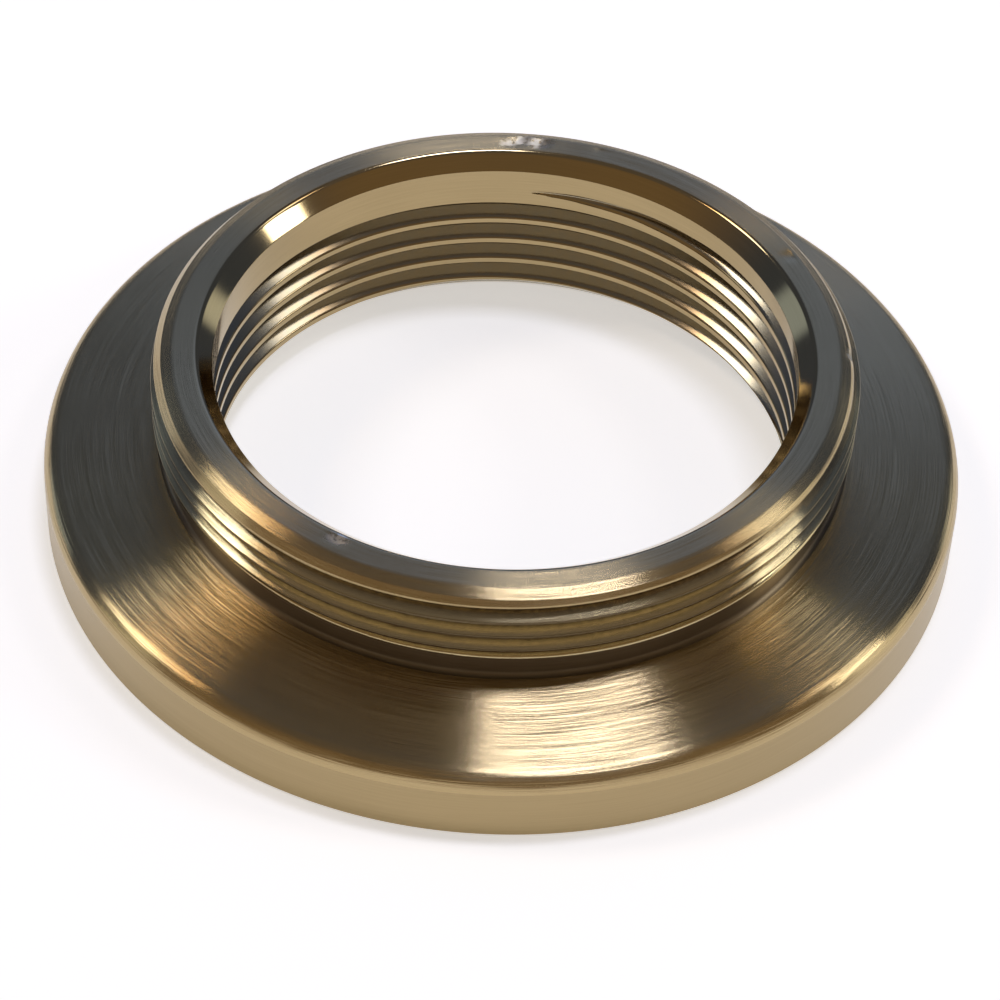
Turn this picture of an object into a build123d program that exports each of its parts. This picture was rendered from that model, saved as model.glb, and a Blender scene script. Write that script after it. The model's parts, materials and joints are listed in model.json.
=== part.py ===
"""Tap escutcheon: one turned brass ring, a sloping flange under a collar threaded inside and out.

Millimetres, +Z up. The origin is on the axis, in the flat underside that rests on the deck.
"""

import os
from math import ceil, cos, radians, sin, tan

from build123d import *

# Flange
flange_radius = 25.0
rim_height = 4.1
flange_slope = 8.0  # degrees that the top face rises towards the collar
rim_top_round = 1.0
rim_bottom_chamfer = 0.15

# Collar
overall_height = 10.6
collar_radius = 19.0
chamfer_drop = 0.7  # of the steep lead-in chamfer over the outer thread
chamfer_width = 0.58
crown_drop = 0.25  # of the flatter bevel between that chamfer and the top face
crown_width = 0.56
crown_round = 0.6
collar_wall = 3.31  # between the crests of the outer and the inner thread
relief_depth = 0.45  # from the outer thread's crests
relief_height = 1.2  # from the flange's foot up to the shoulder under the thread
foot_round = 0.25

# Bore
mouth_chamfer = 0.85
mouth_round = 0.4
lead_in = 1.6

# Threads, both right-handed, given by the flats that their grooves leave
flank_angle = 30.0  # degrees from a plane square to the axis
outer_pitch = 1.0
outer_crest = 0.14
outer_root = 0.12
outer_azimuth = 130.0  # where the groove is first at its full depth
outer_start = 1.31  # height of its middle there, above the flange's foot
inner_pitch = 1.5
inner_crest = 0.36
inner_root = 0.16
inner_azimuth = -2.0  # where the groove starts to run out into the plain bore
inner_end = 7.95  # height of its middle there
runout_sweep = 100.0  # degrees over which either tool is drawn clear of the wall

relief_radius = collar_radius - relief_depth
bore_radius = collar_radius - collar_wall
flank_rise = tan(radians(flank_angle))
outer_depth = (outer_pitch - outer_crest - outer_root) / 2 / flank_rise
outer_root_radius = collar_radius - outer_depth
inner_depth = (inner_pitch - inner_crest - inner_root) / 2 / flank_rise
inner_root_radius = bore_radius + inner_depth


def overcut(crest):
    """How far a thread tool stands out of the metal: half-way to where its turns would meet."""
    return crest / 4 / flank_rise


def thread_tool(path, tip_radius, tip_flat, reach):
    """A thread tool swept along a helix that starts at height 0 over +X. A negative reach opens inwards."""
    open_half = tip_flat / 2 + abs(reach) * flank_rise
    with BuildPart() as tool:
        with BuildSketch(Plane.XZ):
            with BuildLine():
                Polyline(
                    (tip_radius, -tip_flat / 2),
                    (tip_radius, tip_flat / 2),
                    (tip_radius + reach, open_half),
                    (tip_radius + reach, -open_half),
                    close=True,
                )
            make_face()
        sweep(path=path, is_frenet=True)
    return tool.part


# Thread tools: one turn of each groove, and its run-in or run-out on a circle that touches the
# groove's own, larger outside and smaller inside, so that the tool leaves the wall without a step
outer_reach = outer_depth + overcut(outer_crest)
runin_pitch = outer_pitch * collar_radius / outer_root_radius
runin_rise = runin_pitch * runout_sweep / 360
inner_reach = -inner_depth - overcut(inner_crest)
runout_radius = inner_root_radius - inner_depth
runout_pitch = inner_pitch * runout_radius / inner_root_radius

with BuildLine() as outer_path:
    Helix(outer_pitch, outer_pitch, outer_root_radius)
with BuildLine() as runin_path:
    Helix(runin_pitch, runin_rise, collar_radius)
with BuildLine() as inner_path:
    Helix(inner_pitch, inner_pitch, inner_root_radius)
with BuildLine() as runout_path:
    Helix(runout_pitch, runout_pitch * runout_sweep / 360, runout_radius, (inner_depth, 0, 0))

outer_turn = thread_tool(outer_path.edge(), outer_root_radius, outer_root, outer_reach)
outer_runin = thread_tool(runin_path.edge(), collar_radius, outer_root, outer_reach)
inner_turn = thread_tool(inner_path.edge(), inner_root_radius, inner_root, inner_reach)
inner_runout = thread_tool(runout_path.edge(), inner_root_radius, inner_root, inner_reach)

# Ring: the turned section
foot_height = rim_height + (flange_radius - relief_radius) * tan(radians(flange_slope))
shoulder_height = foot_height + relief_height
crown_height = overall_height - crown_drop
crown_radius = collar_radius - chamfer_width
top_radius = crown_radius - crown_width
mouth_radius = bore_radius + mouth_chamfer

with BuildPart() as ring:
    with BuildSketch(Plane.XZ) as section:
        with BuildLine():
            Polyline(
                (bore_radius + lead_in, 0),
                (flange_radius - rim_bottom_chamfer, 0),
                (flange_radius, rim_bottom_chamfer),
                (flange_radius, rim_height),
                (relief_radius, foot_height),
                (relief_radius, shoulder_height),
                (collar_radius, shoulder_height + collar_radius - relief_radius),
                (collar_radius, crown_height - chamfer_drop),
                (crown_radius, crown_height),
                (top_radius, overall_height),
                (mouth_radius, overall_height),
                (bore_radius, overall_height - mouth_chamfer),
                (bore_radius, lead_in),
                close=True,
            )
        make_face()
        for place, radius in (
            ((flange_radius, rim_height), rim_top_round),
            ((relief_radius, foot_height), foot_round),
            ((top_radius, overall_height), crown_round),
            ((mouth_radius, overall_height), mouth_round),
        ):
            fillet(section.vertices().sort_by_distance(place)[0], radius)
    revolve(axis=Axis.Z)

    # Outer thread: its run-in from the relief, then turn by turn up past the top
    outer_bottom = foot_height + outer_start
    runin_x = -outer_depth * cos(radians(outer_azimuth))
    runin_y = -outer_depth * sin(radians(outer_azimuth))
    with Locations((runin_x, runin_y, outer_bottom - runin_rise)):
        add(outer_runin, rotation=(0, 0, outer_azimuth - runout_sweep), mode=Mode.SUBTRACT)
    for turn in range(ceil((overall_height - outer_bottom) / outer_pitch)):
        with Locations((0, 0, outer_bottom + turn * outer_pitch)):
            add(outer_turn, rotation=(0, 0, outer_azimuth), mode=Mode.SUBTRACT)

    # Inner thread: its run-out, then turn by turn down into the open lead-in
    with Locations((0, 0, inner_end)):
        add(inner_runout, rotation=(0, 0, inner_azimuth), mode=Mode.SUBTRACT)
    for turn in range(ceil((inner_end - lead_in + inner_depth + inner_root) / inner_pitch)):
        with Locations((0, 0, inner_end - (turn + 1) * inner_pitch)):
            add(inner_turn, rotation=(0, 0, inner_azimuth), mode=Mode.SUBTRACT)

ring.part.label = "escutcheon_ring"
os.makedirs("parts", exist_ok=True)
export_step(ring.part, "parts/escutcheon_ring.step")
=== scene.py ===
"""Looks of the tap escutcheon: a turned brass ring, brushed on the flange, polished in the threaded bore.

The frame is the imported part's: metres, +Z up the ring's axis, the underside on the floor at z = 0.
Sizes below are in millimetres. Azimuths are in degrees from +X towards the far side, +Y.
"""

import json
from math import acos, ceil, cos, pi, radians, sin, tan

import bpy
from mathutils import Matrix, Vector


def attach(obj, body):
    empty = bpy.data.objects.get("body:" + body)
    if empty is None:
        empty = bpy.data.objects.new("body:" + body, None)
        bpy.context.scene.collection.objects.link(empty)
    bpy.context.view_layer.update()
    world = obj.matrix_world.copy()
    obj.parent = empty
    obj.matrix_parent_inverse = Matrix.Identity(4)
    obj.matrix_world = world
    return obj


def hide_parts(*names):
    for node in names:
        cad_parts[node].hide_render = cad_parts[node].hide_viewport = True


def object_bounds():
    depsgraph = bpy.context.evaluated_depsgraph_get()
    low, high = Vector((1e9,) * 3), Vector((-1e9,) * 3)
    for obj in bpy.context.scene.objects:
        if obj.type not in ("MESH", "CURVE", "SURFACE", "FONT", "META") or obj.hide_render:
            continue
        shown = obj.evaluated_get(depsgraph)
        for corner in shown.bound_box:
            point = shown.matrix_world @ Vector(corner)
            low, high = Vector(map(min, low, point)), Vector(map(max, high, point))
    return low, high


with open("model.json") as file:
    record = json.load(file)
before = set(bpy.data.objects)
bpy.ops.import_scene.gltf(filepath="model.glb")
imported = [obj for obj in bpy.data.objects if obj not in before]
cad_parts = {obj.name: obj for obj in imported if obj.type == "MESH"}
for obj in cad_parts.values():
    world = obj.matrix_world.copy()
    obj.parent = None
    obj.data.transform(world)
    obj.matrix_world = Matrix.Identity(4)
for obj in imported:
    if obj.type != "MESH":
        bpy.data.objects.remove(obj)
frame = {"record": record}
cad_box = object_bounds()

MM = 0.001
mount_sizes = {mount["name"]: mount["dims"] for mount in frame["record"]["mounts"]}

# Ring sizes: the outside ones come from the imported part
flange_radius = cad_box[1].x / MM
overall_height = cad_box[1].z / MM
collar_radius = mount_sizes["outer_thread"]["r_mm"]
bore_radius = mount_sizes["inner_thread"]["r_mm"]
rim_height = 4.1
flange_slope = radians(8)
rim_round, rim_chamfer = 1.0, 0.15
relief_depth, relief_height = 0.45, 1.2
foot_round = 0.25
chamfer_drop, chamfer_width = 0.7, 0.58
crown_drop, crown_width, crown_round = 0.25, 0.56, 0.6
mouth_chamfer, mouth_round = 0.85, 0.4
lead_in = 1.6
edge_round, crown_edge_round = 0.04, 0.03  # of the edges that are left sharp

# Heights and radii that follow
relief_radius = collar_radius - relief_depth
foot_height = rim_height + (flange_radius - relief_radius) * tan(flange_slope)
shoulder_height = foot_height + relief_height
crown_height = overall_height - crown_drop
chamfer_height = crown_height - chamfer_drop

# Thread sizes: pitch, the flats that a groove leaves at its crest and root, and the wear at its edges
flank_rise = tan(radians(30))
outer_pitch, outer_crest, outer_root, outer_wear = 1.0, 0.14, 0.12, 0.01
inner_pitch, inner_crest, inner_root, inner_wear = 1.5, 0.36, 0.16, 0.03
outer_depth = (outer_pitch - outer_crest - outer_root) / 2 / flank_rise
inner_depth = (inner_pitch - inner_crest - inner_root) / 2 / flank_rise

# Where the outer groove is first at its full depth, and where the inner one is last
outer_start = 1.31  # above the flange's foot
runin_azimuth, outer_begin = 130, foot_height + outer_start
runout_azimuth, inner_end = -2, 7.95

# Threaded walls: the heights that each lies between, its turns, and how many lie under that place
seam_gap = 0.07  # from a seam to the edge beside it
runin_room = 0.4  # for the first groove, under the shoulder
outer_fade = 0.18  # height over which the outer groove ends at the top
outer_low, outer_high = shoulder_height - runin_room, crown_height - seam_gap
inner_low, inner_high = lead_in - inner_depth - seam_gap, 8.95
outer_turns, outer_turns_under = 6, 1
inner_turns, inner_turns_under = 8, 6

steps_round = 328
full_turn = radians(360)
weld_distance = 0.002

# Dents in the collar's top: azimuth, radius and height of the middle, half length round, half width, depth,
# and how bare the metal is there
dents = (
    (91.2, 17.2, 10.6, 0.6, 0.4, 0.09, 0.4),
    (88.2, 17.5, 10.6, 0.75, 0.45, 0.16, 1),
    (85.2, 17.4, 10.6, 0.6, 0.5, 0.12, 0.8),
    (73.1, 17.6, 10.6, 0.65, 0.42, 0.06, 0),
    (28.5, 17.5, 10.6, 0.45, 0.42, 0.1, 0),
    (2.3, 18.35, 10.1, 0.55, 0.4, 0.12, 0.8),
    (241.5, 16.9, 10.6, 0.6, 0.4, 0.13, 1.5),
)
dent_lumps = 2.5  # a millimetre
wall_middle = 17.3, 9.6  # radius and height that a dent is driven towards


# Node trees


class Field:
    """A value that nodes work out, so that a formula in a tree reads as one."""

    def __init__(self, sheet, socket):
        self.sheet = sheet
        self.socket = socket

    def __add__(self, other):
        return self.sheet.math("ADD", self, other)

    def __radd__(self, other):
        return self.sheet.math("ADD", other, self)

    def __sub__(self, other):
        return self.sheet.math("SUBTRACT", self, other)

    def __rsub__(self, other):
        return self.sheet.math("SUBTRACT", other, self)

    def __mul__(self, other):
        return self.sheet.math("MULTIPLY", self, other)

    def __truediv__(self, other):
        return self.sheet.math("DIVIDE", self, other)


class Sheet:
    """A node tree, with short ways to add to it."""

    def __init__(self, tree):
        self.tree = tree

    def put(self, socket, value):
        if isinstance(value, Field):
            value = value.socket
        if isinstance(value, bpy.types.NodeSocket):
            self.tree.links.new(value, socket)
        else:
            socket.default_value = value

    def add(self, kind, inputs=None, **settings):
        node = self.tree.nodes.new(kind)
        for name, value in settings.items():
            setattr(node, name, value)
        for key, value in (inputs or {}).items():
            self.put(node.inputs[key], value)
        return node

    def field(self, kind, inputs=None, output=0, **settings):
        return Field(self, self.add(kind, inputs, **settings).outputs[output])

    def math(self, operation, *values):
        return self.field("ShaderNodeMath", dict(enumerate(values)), operation=operation)

    def whole(self, operation, *values):
        return self.field("FunctionNodeIntegerMath", dict(enumerate(values)), operation=operation)

    def vector(self, operation, *values):
        return self.field("ShaderNodeVectorMath", dict(enumerate(values)), operation=operation)

    def scaled(self, vector, factor):
        return self.field("ShaderNodeVectorMath", {0: vector, "Scale": factor}, operation="SCALE")

    def least(self, first, *others):
        for other in others:
            first = self.math("MINIMUM", first, other)
        return first

    def most(self, first, *others):
        for other in others:
            first = self.math("MAXIMUM", first, other)
        return first

    def point(self, x, y, z):
        return self.field("ShaderNodeCombineXYZ", {0: x, 1: y, 2: z})

    def parts(self, vector):
        node = self.add("ShaderNodeSeparateXYZ", {0: vector})
        return [Field(self, output) for output in node.outputs]

    def radius(self, x, y):
        return self.math("SQRT", x * x + y * y)

    def noise(self, place, density, detail):
        return self.field("ShaderNodeTexNoise", {"Vector": place, "Scale": density, "Detail": detail})

    def blend(self, share, first, second):
        node = self.add("ShaderNodeMix", {0: share, 6: first, 7: second}, data_type="RGBA")
        return Field(self, node.outputs[2])

    def spread(self, value, low, high, to_low, to_high, kind="LINEAR"):
        inputs = {"Value": value, "From Min": low, "From Max": high, "To Min": to_low, "To Max": to_high}
        return self.field("ShaderNodeMapRange", inputs, interpolation_type=kind)


class RingSheet(Sheet):
    """The ring's Geometry Nodes tree, with a named input for each size."""

    def __init__(self, name):
        super().__init__(bpy.data.node_groups.new(name, "GeometryNodeTree"))
        self.sizes = {}
        self.section = self.socket("Section", "NodeSocketGeometry")
        self.tree.interface.new_socket("Ring", in_out="OUTPUT", socket_type="NodeSocketGeometry")

    def socket(self, name, kind):
        item = self.tree.interface.new_socket(name, in_out="INPUT", socket_type=kind)
        return self.tree.nodes.new("NodeGroupInput").outputs[item.identifier]

    def size(self, name, value):
        kind = "NodeSocketInt" if isinstance(value, int) else "NodeSocketFloat"
        socket = self.socket(name, kind)
        self.sizes[socket.identifier] = value
        return Field(self, socket)

    def worked(self, kind, geometry, inputs=None, **settings):
        """The geometry, after a node of this kind has worked on it."""
        return self.add(kind, {"Geometry": geometry, **(inputs or {})}, **settings).outputs[0]

    def finish(self, geometry, holder):
        """Runs the tree on the holder's mesh and leaves the result there as a plain mesh."""
        self.add("NodeGroupOutput", {"Ring": geometry})
        modifier = holder.modifiers.new(self.tree.name, "NODES")
        modifier.node_group = self.tree
        for identifier, value in self.sizes.items():
            modifier[identifier] = value
        made = holder.evaluated_get(bpy.context.evaluated_depsgraph_get())
        mesh = bpy.data.meshes.new_from_object(made)
        holder.modifiers.clear()
        holder.data = mesh


# Ring


def rounded(corners, longest=0.9, support=0.07, steps_per_mm=10, fewest_steps=5):
    """A section line with rounded corners, given as (radius, height, rounding) from end to end.

    A support point beside each rounding keeps the flats flat, and flats over the longest are divided.
    """
    line = [Vector(corners[0][:2])]
    for before, (*here, rounding), after in zip(corners, corners[1:], corners[2:]):
        here = Vector(here)
        back = (Vector(before[:2]) - here).normalized()
        on = (Vector(after[:2]) - here).normalized()
        half = acos(back.dot(on)) / 2
        setback = rounding / tan(half)
        middle = here + (back + on).normalized() * rounding / sin(half)
        start = here + back * setback - middle
        end = here + on * setback - middle
        arc_steps = max(fewest_steps, ceil(rounding * steps_per_mm))
        line.append(here + back * (setback + support))
        for step in range(arc_steps + 1):
            line.append(middle + start.slerp(end, step / arc_steps) * rounding)
        line.append(here + on * (setback + support))
    line.append(Vector(corners[-1][:2]))
    points = [line[0]]
    for last, here in zip(line, line[1:]):
        parts = ceil((here - last).length / longest)
        points += [last.lerp(here, part / parts) for part in range(1, parts + 1)]
    return points


def section_lines():
    """The two lines that are turned plain: under and round the flange, and over the collar's top."""
    lower = rounded(
        [
            (bore_radius + lead_in - inner_low, inner_low, 0),
            (bore_radius + lead_in, 0, edge_round),
            (flange_radius - rim_chamfer, 0, edge_round),
            (flange_radius, rim_chamfer, edge_round),
            (flange_radius, rim_height, rim_round),
            (relief_radius, foot_height, foot_round),
            (relief_radius, outer_low, 0),
        ]
    )
    seam_radius = collar_radius - (outer_high - chamfer_height) * chamfer_width / chamfer_drop
    upper = rounded(
        [
            (seam_radius, outer_high, 0),
            (collar_radius - chamfer_width, crown_height, crown_edge_round),
            (collar_radius - chamfer_width - crown_width, overall_height, crown_round),
            (bore_radius + mouth_chamfer, overall_height, mouth_round),
            (bore_radius, overall_height - mouth_chamfer, edge_round),
            (bore_radius, inner_high, 0),
        ],
        longest=0.3,
    )
    return lower, upper


def thread_rows(pitch, crest, root, wear):
    """Where a thread's rows lie, from the middle of its groove: close together at the worn edges."""
    crest_edge = (pitch - crest) / 2
    root_edge = root / 2
    beside = 2.2 * wear
    near, far = root_edge + beside, crest_edge - beside
    half = [root_edge - wear, root_edge + wear, near]
    half += [near + (far - near) * share for share in (0.33, 0.67)]
    half += [far, crest_edge - wear, crest_edge + wear, crest_edge + beside, pitch / 2]
    return [-distance for distance in reversed(half)] + half


def grid(sheet, columns, rows):
    """A grid to be bent into a wall, with each of its points' column and row."""
    mesh = sheet.add("GeometryNodeMeshGrid", {"Vertices X": columns, "Vertices Y": rows}).outputs["Mesh"]
    index = sheet.field("GeometryNodeInputIndex")
    return mesh, sheet.whole("DIVIDE_FLOOR", index, rows), sheet.whole("MODULO", index, rows)


def bent(sheet, mesh, turn, radius, height):
    """Bends a grid round the axis."""
    angle = turn * full_turn
    place = sheet.point(radius * sheet.math("COSINE", angle), radius * sheet.math("SINE", angle), height)
    return sheet.worked("GeometryNodeSetPosition", mesh, {"Position": place})


def kept(sheet, mesh, name, value):
    """Keeps a value at each point, for the finishes to read."""
    inputs = {"Name": name, "Value": value}
    return sheet.worked("GeometryNodeStoreNamedAttribute", mesh, inputs, data_type="FLOAT")


def turned_walls(sheet, steps, lower_count, upper_count):
    """The section lines carried round the axis, without the wall that would join the two."""
    rows = lower_count + upper_count
    mesh, column, row = grid(sheet, sheet.whole("ADD", steps, 1), rows)
    position = sheet.field("GeometryNodeInputPosition")
    inputs = {"Geometry": sheet.section, "Value": position, "Index": row}
    place = sheet.field("GeometryNodeSampleIndex", inputs, data_type="FLOAT_VECTOR")
    radius, _, height = sheet.parts(place)
    walls = bent(sheet, mesh, column / steps, radius, height)
    face = sheet.field("GeometryNodeInputIndex")
    face_row = sheet.whole("MODULO", face, rows - 1)
    inputs = {2: face_row, 3: lower_count - 1}
    between = sheet.field("FunctionNodeCompare", inputs, data_type="INT", operation="EQUAL")
    return sheet.worked("GeometryNodeDeleteGeometry", walls, {"Selection": between}, domain="FACE")


def thread_strip(sheet, steps, turns, pitch, start, offsets, low, high):
    """A strip one pitch wide that climbs round the axis.

    With it come each point's turn, the height of the groove's middle there, the point's own height, and how
    far it is from that middle.
    """
    columns = sheet.whole("ADD", sheet.whole("MULTIPLY", steps, turns), 1)
    mesh, column, row = grid(sheet, columns, len(offsets))
    across = sheet.add("GeometryNodeIndexSwitch", data_type="FLOAT")
    while len(across.index_switch_items) < len(offsets):
        across.index_switch_items.new()
    sheet.put(across.inputs["Index"], row)
    for socket, offset in zip(list(across.inputs)[1:], offsets):
        socket.default_value = offset
    offset = Field(sheet, across.outputs[0])
    turn = column / steps
    middle = start + pitch * turn
    height = sheet.least(sheet.most(middle + offset, low), high)
    return mesh, turn, middle, height, sheet.math("ABSOLUTE", offset)


def drawn_out(sheet, depth, turns):
    """How far the tool stands out of its full depth, so many turns away from the full groove."""
    half_turn = 0.5
    angle = sheet.least(sheet.most(turns, 0), half_turn) * full_turn
    return depth * (1 - sheet.math("COSINE", angle))


def outer_thread(sheet, steps):
    """The collar's threaded wall. Its groove runs in from the relief and ends in the chamfer."""
    collar = sheet.size("Collar radius", collar_radius)
    pitch = sheet.size("Outer pitch", outer_pitch)
    depth = sheet.size("Outer depth", outer_depth)
    root = sheet.size("Outer root flat", outer_root)
    offsets = thread_rows(outer_pitch, outer_crest, outer_root, outer_wear)
    start = outer_begin - outer_pitch * (outer_turns_under + runin_azimuth / 360)
    mesh, turn, middle, height, away = thread_strip(
        sheet, steps, outer_turns, pitch, start, offsets, outer_low, outer_high
    )
    held_off = drawn_out(sheet, depth, (outer_begin - middle) / pitch)
    held_off = held_off + sheet.most(height - (outer_high - outer_fade), 0)
    cut = depth - held_off - sheet.most(away - root / 2, 0) / flank_rise
    shoulder = relief_radius + sheet.most(height - shoulder_height, 0)
    chamfer = collar - (height - chamfer_height) * (chamfer_width / chamfer_drop)
    plain = sheet.least(collar, shoulder, chamfer)
    radius = sheet.least(collar - cut, plain)
    return kept(sheet, bent(sheet, mesh, turn, radius, height), "groove", (plain - radius) / depth)


def inner_thread(sheet, steps):
    """The bore's threaded wall. Its groove starts in the lead-in and runs out under the mouth."""
    bore = sheet.size("Bore radius", bore_radius)
    pitch = sheet.size("Inner pitch", inner_pitch)
    depth = sheet.size("Inner depth", inner_depth)
    root = sheet.size("Inner root flat", inner_root)
    offsets = thread_rows(inner_pitch, inner_crest, inner_root, inner_wear)[::-1]
    start = inner_end - inner_pitch * (inner_turns_under + runout_azimuth / 360)
    mesh, turn, middle, height, away = thread_strip(
        sheet, steps, inner_turns, pitch, start, offsets, inner_low, inner_high
    )
    held_off = drawn_out(sheet, depth, (middle - inner_end) / pitch)
    cut = sheet.most(depth - held_off - sheet.most(away - root / 2, 0) / flank_rise, 0)
    radius = sheet.most(bore + cut, bore + lead_in - height)
    return kept(sheet, bent(sheet, mesh, turn, radius, height), "groove", cut / depth)


def dented(sheet, geometry):
    """Drives each dent into the collar, deepest in the middle and uneven, and keeps how bare it is."""
    place = sheet.field("GeometryNodeInputPosition")
    x, y, height = sheet.parts(place)
    radius = sheet.radius(x, y)
    depth, bare = 0, 0
    for azimuth, middle_radius, middle_height, length, width, deepest, bareness in dents:
        east, north = cos(radians(azimuth)), sin(radians(azimuth))
        along = (y * east - x * north) / length
        across = (x * east + y * north - middle_radius) / width
        above = (height - middle_height) / width
        within = sheet.most(1 - along * along - across * across - above * above, 0)
        depth = depth + within * deepest
        bare = bare + within * bareness
    depth = depth * sheet.spread(sheet.noise(place, dent_lumps, 2), 0.35, 0.65, 0.2, 1.3)
    inward = (wall_middle[0] - radius) / radius
    way = sheet.vector("NORMALIZE", sheet.point(x * inward, y * inward, wall_middle[1] - height))
    geometry = sheet.worked("GeometryNodeSetPosition", geometry, {"Offset": sheet.scaled(way, depth)})
    return kept(sheet, geometry, "bare", bare)


def finished(sheet, geometry, zones):
    """One closed wall, in metres, with each zone's finish."""
    geometry = sheet.worked("GeometryNodeMergeByDistance", geometry, {"Distance": weld_distance})
    geometry = dented(sheet, geometry)
    geometry = sheet.worked("GeometryNodeSetShadeSmooth", geometry)
    geometry = sheet.worked("GeometryNodeTransform", geometry, {"Scale": (MM, MM, MM)})
    geometry = sheet.worked("GeometryNodeRealizeInstances", geometry)
    x, y, height = [part / MM for part in sheet.parts(sheet.field("GeometryNodeInputPosition"))]
    radius = sheet.radius(x, y)
    for finish, (inside, outside, low, high) in zones:
        zone = sheet.math("GREATER_THAN", radius, inside) * sheet.math("LESS_THAN", radius, outside)
        zone = zone * sheet.math("GREATER_THAN", height, low) * sheet.math("LESS_THAN", height, high)
        geometry = sheet.worked("GeometryNodeSetMaterial", geometry, {"Selection": zone, "Material": finish})
    return geometry


def make_ring(zones):
    """The section lines, turned and threaded by the ring's tree into one closed mesh."""
    lines = section_lines()
    points = [(point.x, 0, point.y) for line in lines for point in line]
    mesh = bpy.data.meshes.new("brass_ring")
    mesh.from_pydata(points, [], [])
    ring = bpy.data.objects.new("brass_ring", mesh)
    bpy.context.scene.collection.objects.link(ring)
    sheet = RingSheet("turned_and_threaded")
    steps = sheet.size("Steps round", steps_round)
    walls = [
        turned_walls(sheet, steps, len(lines[0]), len(lines[1])),
        outer_thread(sheet, steps),
        inner_thread(sheet, steps),
    ]
    joined = sheet.add("GeometryNodeJoinGeometry")
    for wall in walls:
        sheet.put(joined.inputs[0], wall)
    sheet.finish(finished(sheet, joined.outputs[0], zones), ring)
    return ring


# Finishes

brass = (0.43, 0.325, 0.165, 1), (0.49, 0.375, 0.20, 1)
# Lighter brass for the outer thread: painted light standing in for the light bounced between its flanks
painted_bounce_brass = (0.55, 0.45, 0.25, 1), (0.61, 0.50, 0.29, 1)
dull_brass = (0.37, 0.28, 0.145, 1), (0.42, 0.32, 0.17, 1)
# Dark brass painted on the collar's foot and the flange beside it as shade
painted_shade_brass = (0.15, 0.115, 0.07, 1), (0.19, 0.145, 0.09, 1)
# Dark colour painted into the grooves as shade, and onto low crests as a painted dark reflection
painted_groove_shade = (0.075, 0.055, 0.035, 1)
bare_metal = (0.85, 0.79, 0.64, 1)
# Grey colour painted into the bore's thread grooves as shade
grey_painted_shade = (0.34, 0.3, 0.225, 1)

# How many of each a millimetre holds
fine_lines, seen_lines = 60, 10
grains, clouds = 3, 0.12


def tool_lines(sheet, place, density):
    """Noise in long lines round the axis, so many a millimetre, that change slowly along their run."""
    slow = 3
    x, y, z = sheet.parts(place)
    radius = sheet.radius(x, y)
    lie = sheet.point((radius + z) * (density / MM), x / radius * slow, y / radius * slow)
    return sheet.field("ShaderNodeTexNoise", {"Vector": lie, "Scale": 1, "Detail": 2, "Roughness": 0.8})


def metal(
    name, tones, roughness, leaning, anisotropy=1, painted_shade=painted_groove_shade, painted_shade_depths=(0, 1, 0), dulled=0, painted_crests_to=0
):
    """A brass finish with a dark and a light tone.

    leaning is how far the finest tool lines lean the wall. painted_shade is the colour painted into a groove
    as shade, and painted_shade_depths the depth where it starts, where it is darkest, and how dark. dulled
    is the roughness added in a groove. painted_crests_to is the height up to which the crests get that
    colour too, as a painted dark reflection.
    """
    material = bpy.data.materials.new(name)
    material.use_nodes = True
    sheet = Sheet(material.node_tree)
    shader = material.node_tree.nodes["Principled BSDF"]
    place = sheet.field("ShaderNodeTexCoord", output="Object")
    fine = tool_lines(sheet, place, fine_lines)
    seen = tool_lines(sheet, place, seen_lines)
    cloud = sheet.noise(place, clouds / MM, 2)
    grain = sheet.noise(place, grains / MM, 3)

    # Colour: the two tones, then painted shade in the grooves and a painted dark reflection on low crests,
    # then the bare metal of the dents
    tone = sheet.blend(sheet.spread(seen * 0.7 + cloud * 0.3, 0.3, 0.7, 0, 1), *tones)
    depth = sheet.field("ShaderNodeAttribute", output="Fac", attribute_name="groove")
    # Painted dark reflection: crest flats up to a given height get the shade colour instead of mirroring the
    # pale floor
    painted_dark_crest = sheet.spread(depth, 0.02, 0.06, 0.7, 0)
    painted_dark_crest = painted_dark_crest * sheet.math("LESS_THAN", sheet.parts(place)[2], painted_crests_to * MM)
    # Painted shade: the wall darkens towards the shade colour as the groove gets deeper, unevenly
    starts, darkest, darkness = painted_shade_depths
    painted_shade_share = sheet.spread(depth, starts, darkest, 0, darkness) * sheet.spread(grain, 0.3, 0.7, 0.75, 1.2)
    tone = sheet.blend(sheet.most(painted_shade_share, painted_dark_crest), tone, painted_shade)
    bare = sheet.field("ShaderNodeAttribute", output="Fac", attribute_name="bare")
    bare = sheet.least(bare * sheet.spread(grain, 0.4, 0.6, 0, 1.7), 1)
    sheet.put(shader.inputs["Base Color"], sheet.blend(bare, tone, bare_metal))

    # Polish: uneven along the lines, and duller in the grooves and dents
    uneven = sheet.spread(seen * 0.5 + cloud * 0.5, 0.3, 0.7, roughness * 0.9, roughness * 1.1)
    sheet.put(shader.inputs["Roughness"], uneven + sheet.spread(depth, 0, 0.1, 0, dulled) + bare * 0.3)

    # Tool lines: they lean the wall to and fro, square to their own run
    round_about = sheet.field("ShaderNodeTangent", direction_type="RADIAL", axis="Z")
    wall = sheet.field("ShaderNodeNewGeometry", output="Normal")
    square = sheet.vector("CROSS_PRODUCT", round_about, wall)
    lean = sheet.scaled(square, (fine * 0.92 + seen * 0.08 - 0.5) * leaning)
    leant = sheet.vector("NORMALIZE", sheet.vector("ADD", wall, lean))
    sheet.put(shader.inputs["Normal"], leant)
    sheet.put(shader.inputs["Tangent"], round_about)
    shader.inputs["Metallic"].default_value = 1
    shader.inputs["Anisotropic"].default_value = anisotropy
    shader.inputs["Anisotropic Rotation"].default_value = 0.25
    return material


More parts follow.
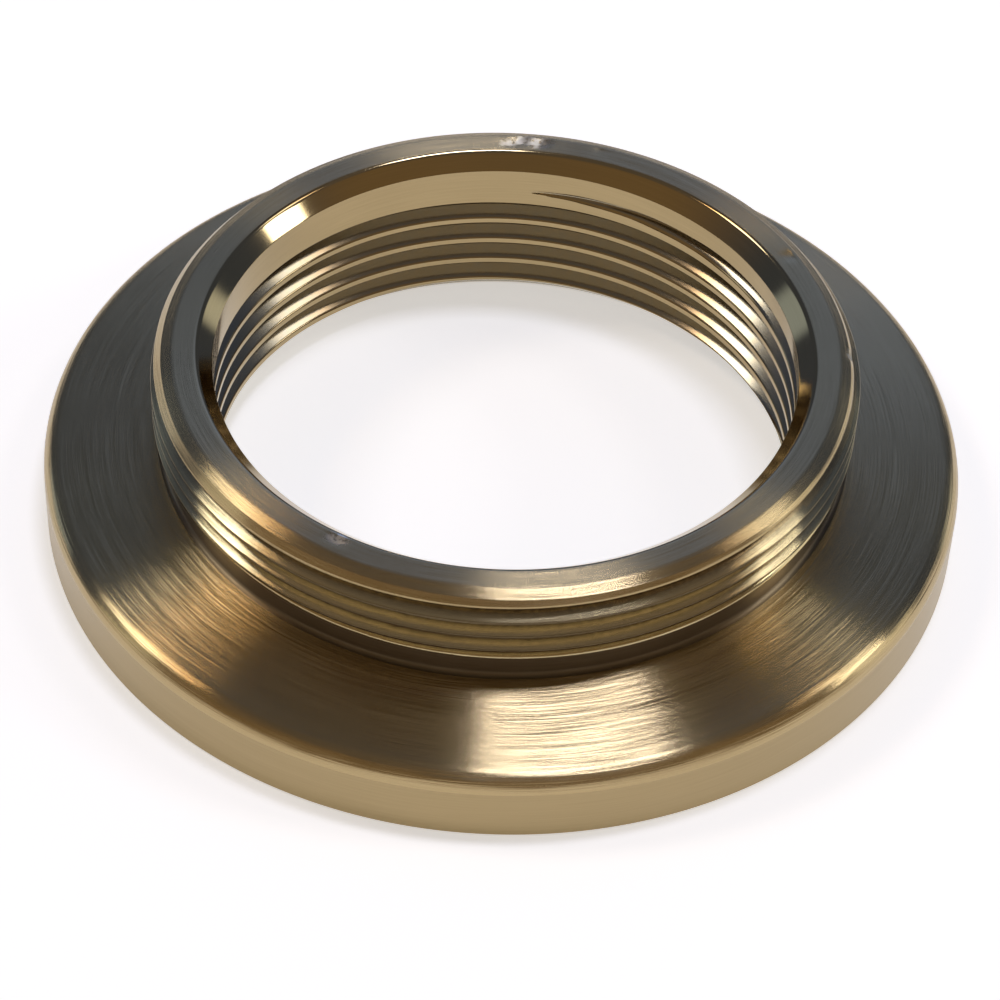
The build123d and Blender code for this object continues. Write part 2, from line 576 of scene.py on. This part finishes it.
chamfer_foot = chamfer_height - 0.03
brushed_flange = metal("brushed_flange", brass, roughness=0.2, leaning=1.3)
turned_rim = metal("turned_rim", dull_brass, roughness=0.3, leaning=0.15, anisotropy=0.7)
satin_top = metal("satin_top", brass, roughness=0.25, leaning=1.2)
# Painted shade deep in the thread grooves that run through the chamfer
turned_chamfer = metal("turned_chamfer", brass, roughness=0.22, leaning=0.5, painted_shade_depths=(0.3, 0.9, 0.8))
# Painted light and shade: a lighter brass as bounced light, painted shade deep in the groove, painted dark
# reflection on crests below the chamfer
cut_thread = metal(
    "cut_thread", painted_bounce_brass, roughness=0.15, leaning=0.3, painted_shade_depths=(0.2, 0.9, 0.8), painted_crests_to=chamfer_foot
)
# Painted shade: dark brass on the collar's foot and the flange next to it, where the collar shades them
foot_relief = metal("foot_relief", painted_shade_brass, roughness=0.3, leaning=0.4)
# Painted shade: a grey colour painted into the bore's thread grooves from just below the crests
polished_bore = metal(
    "polished_bore",
    dull_brass,
    roughness=0.09,
    leaning=0.02,
    anisotropy=0,
    painted_shade=grey_painted_shade,
    painted_shade_depths=(0.02, 0.15, 0.85),
    dulled=0.07,
)

# Zones: inner and outer radius, lowest and highest level, with margins that put each border on an edge.
# A later one covers an earlier one.
under, beyond = -1, 100
rim_top = rim_height - rim_round
thread_inside, thread_outside = relief_radius - 0.35, collar_radius + 1
crown_edge = crown_height - 0.01
mouth_edge = bore_radius + mouth_chamfer + 0.12
ring = make_ring(
    [
        (polished_bore, (0, beyond, under, beyond)),
        (turned_rim, (bore_radius + lead_in, beyond, under, rim_top)),
        (brushed_flange, (relief_radius, beyond, rim_top, foot_height + 0.2)),
        (cut_thread, (thread_inside, thread_outside, foot_height + 0.05, crown_edge)),
        (turned_chamfer, (thread_inside, thread_outside, chamfer_foot, crown_edge)),
        # Painted shade at the collar's foot and on the flange next to it
        (foot_relief, (relief_radius - 0.1, relief_radius + 0.4, foot_height - 0.2, shoulder_height + 0.1)),
        (satin_top, (mouth_edge, collar_radius, crown_edge, beyond)),
    ]
)
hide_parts("escutcheon_ring")
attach(ring, "root")


# Studio

ceiling = 0.8
floor_reach, floor_glow = 6, 0.5
warm_front = (0.26, 0.19, 0.115, 1)
bluish_far = (0.072, 0.092, 0.15, 1)
grey_overhead = (0.15, 0.135, 0.13, 1)

# Glows low in the room: the way to each, the cosines at which it starts and is full, and its colour
glows = (
    ((0.06, 0.87, 0.48), 0.92, 0.995, (0.33, 0.46, 0.88, 1)),
    ((-0.855, 0.47, 0.21), 0.98, 0.993, (0.5, 0.65, 0.9, 1)),
    ((0.81, 0.57, 0.12), 0.985, 0.995, (0.9, 1, 1.1, 1)),
    ((0.97, 0.08, 0.2), 0.975, 0.99, (1.3, 1.3, 1.25, 1)),
    ((-0.97, -0.04, 0.255), 0.98, 0.992, (1, 1, 0.95, 1)),
)


def stand_camera():
    """In front and above, aimed at the origin but for a slight tilt and roll."""
    elevation, tilt, roll = radians(44.669), radians(-0.215), radians(2.447)
    distance = 188.05 * MM
    stand = Vector((0, -cos(elevation), sin(elevation))) * distance
    ahead, side = -stand.normalized(), Vector((1, 0, 0))
    up = side.cross(ahead)
    ahead, up = ahead * cos(tilt) + up * sin(tilt), up * cos(tilt) - ahead * sin(tilt)
    side, up = side * cos(roll) + up * sin(roll), up * cos(roll) - side * sin(roll)
    lens = bpy.data.cameras.new("camera")
    lens.lens = 121.79
    lens.sensor_width = 36
    lens.clip_start = 0.01
    camera = bpy.data.objects.new("camera", lens)
    camera.matrix_world = Matrix.Translation(stand) @ Matrix((side, up, -ahead)).transposed().to_4x4()
    bpy.context.scene.collection.objects.link(camera)
    bpy.context.scene.camera = camera


def hang_lamp(name, across, ahead, brightness, colour=(1, 1, 1)):
    """A soft panel on the ceiling: across are its left and right edges, and ahead its near and far ones.

    The edges are shares of the ceiling's height. The brightness is that of its face, where 1 is white.
    """
    left, right = across
    near, far = ahead
    width, length = (right - left) * ceiling, (far - near) * ceiling
    lamp = bpy.data.lights.new(name, "AREA")
    lamp.shape = "RECTANGLE"
    lamp.size, lamp.size_y = width, length
    lamp.color = colour
    lamp.energy = brightness * pi * width * length
    panel = bpy.data.objects.new(name, lamp)
    panel.location = (left * ceiling + width / 2, near * ceiling + length / 2, ceiling)
    bpy.context.scene.collection.objects.link(panel)


def lay_floor():
    """A white floor that keeps the ring's shadow, and that the metal mirrors as white too."""
    mesh = bpy.data.meshes.new("floor")
    corners = [(x * floor_reach, y * floor_reach, 0) for x, y in ((-1, -1), (1, -1), (1, 1), (-1, 1))]
    mesh.from_pydata(corners, [], [(0, 1, 2, 3)])
    floor = bpy.data.objects.new("floor", mesh)
    bpy.context.scene.collection.objects.link(floor)
    material = bpy.data.materials.new("pale_floor")
    material.use_nodes = True
    sheet = Sheet(material.node_tree)
    shader = material.node_tree.nodes["Principled BSDF"]
    shader.inputs["Base Color"].default_value = (0.87, 0.855, 0.82, 1)
    shader.inputs["Roughness"].default_value = 1
    shader.inputs["Specular IOR Level"].default_value = 0
    shader.inputs["Emission Color"].default_value = (1, 1, 1, 1)
    path = sheet.add("ShaderNodeLightPath")
    seen = sheet.most(
        Field(sheet, path.outputs["Is Camera Ray"]),
        Field(sheet, path.outputs["Is Glossy Ray"]),
        Field(sheet, path.outputs["Is Transmission Ray"]),
    )
    sheet.put(shader.inputs["Emission Strength"], seen * floor_glow)
    mesh.materials.append(material)


def dim_room():
    """The room that the metal mirrors: warm in front, bluish on the far side, grey overhead, with glows."""
    world = bpy.data.worlds.new("dim_room")
    bpy.context.scene.world = world
    world.use_nodes = True
    sheet = Sheet(world.node_tree)
    x, y, z = sheet.parts(sheet.field("ShaderNodeTexCoord", output="Generated"))
    behind = sheet.spread(y, -0.4, 0.3, 0, 1, "SMOOTHSTEP")
    overhead = sheet.spread(z, 0.74, 0.9, 0, 1, "SMOOTHSTEP")
    room = sheet.blend(overhead, sheet.blend(behind, warm_front, bluish_far), grey_overhead)
    for way, start, full, colour in glows:
        way = Vector(way).normalized()
        facing = x * way.x + y * way.y + z * way.z
        room = sheet.blend(sheet.spread(facing, start, full, 0, 1, "SMOOTHSTEP"), room, colour)
    background = world.node_tree.nodes["Background"]
    sheet.put(background.inputs["Color"], room)
    background.inputs["Strength"].default_value = 1


bpy.context.scene.view_settings.view_transform = "Standard"
stand_camera()
lay_floor()
dim_room()
hang_lamp("overhead_panel", (-0.015, 0.275), (0.06, 0.2), 20, (0.97, 1.02, 1.28))
hang_lamp("left_panel", (-1.01, -0.68), (0.12, 0.46), 6.5)
hang_lamp("warm_left_panel", (-0.68, -0.55), (0.12, 0.42), 7.5, (1, 0.72, 0.46))
hang_lamp("warm_right_panel", (0.6, 0.67), (0.12, 0.34), 4.5, (1, 0.78, 0.58))
hang_lamp("right_panel", (0.67, 0.93), (0.12, 0.43), 3.7)
hang_lamp("far_right_panel", (1.4, 1.85), (-0.12, 0.3), 9)
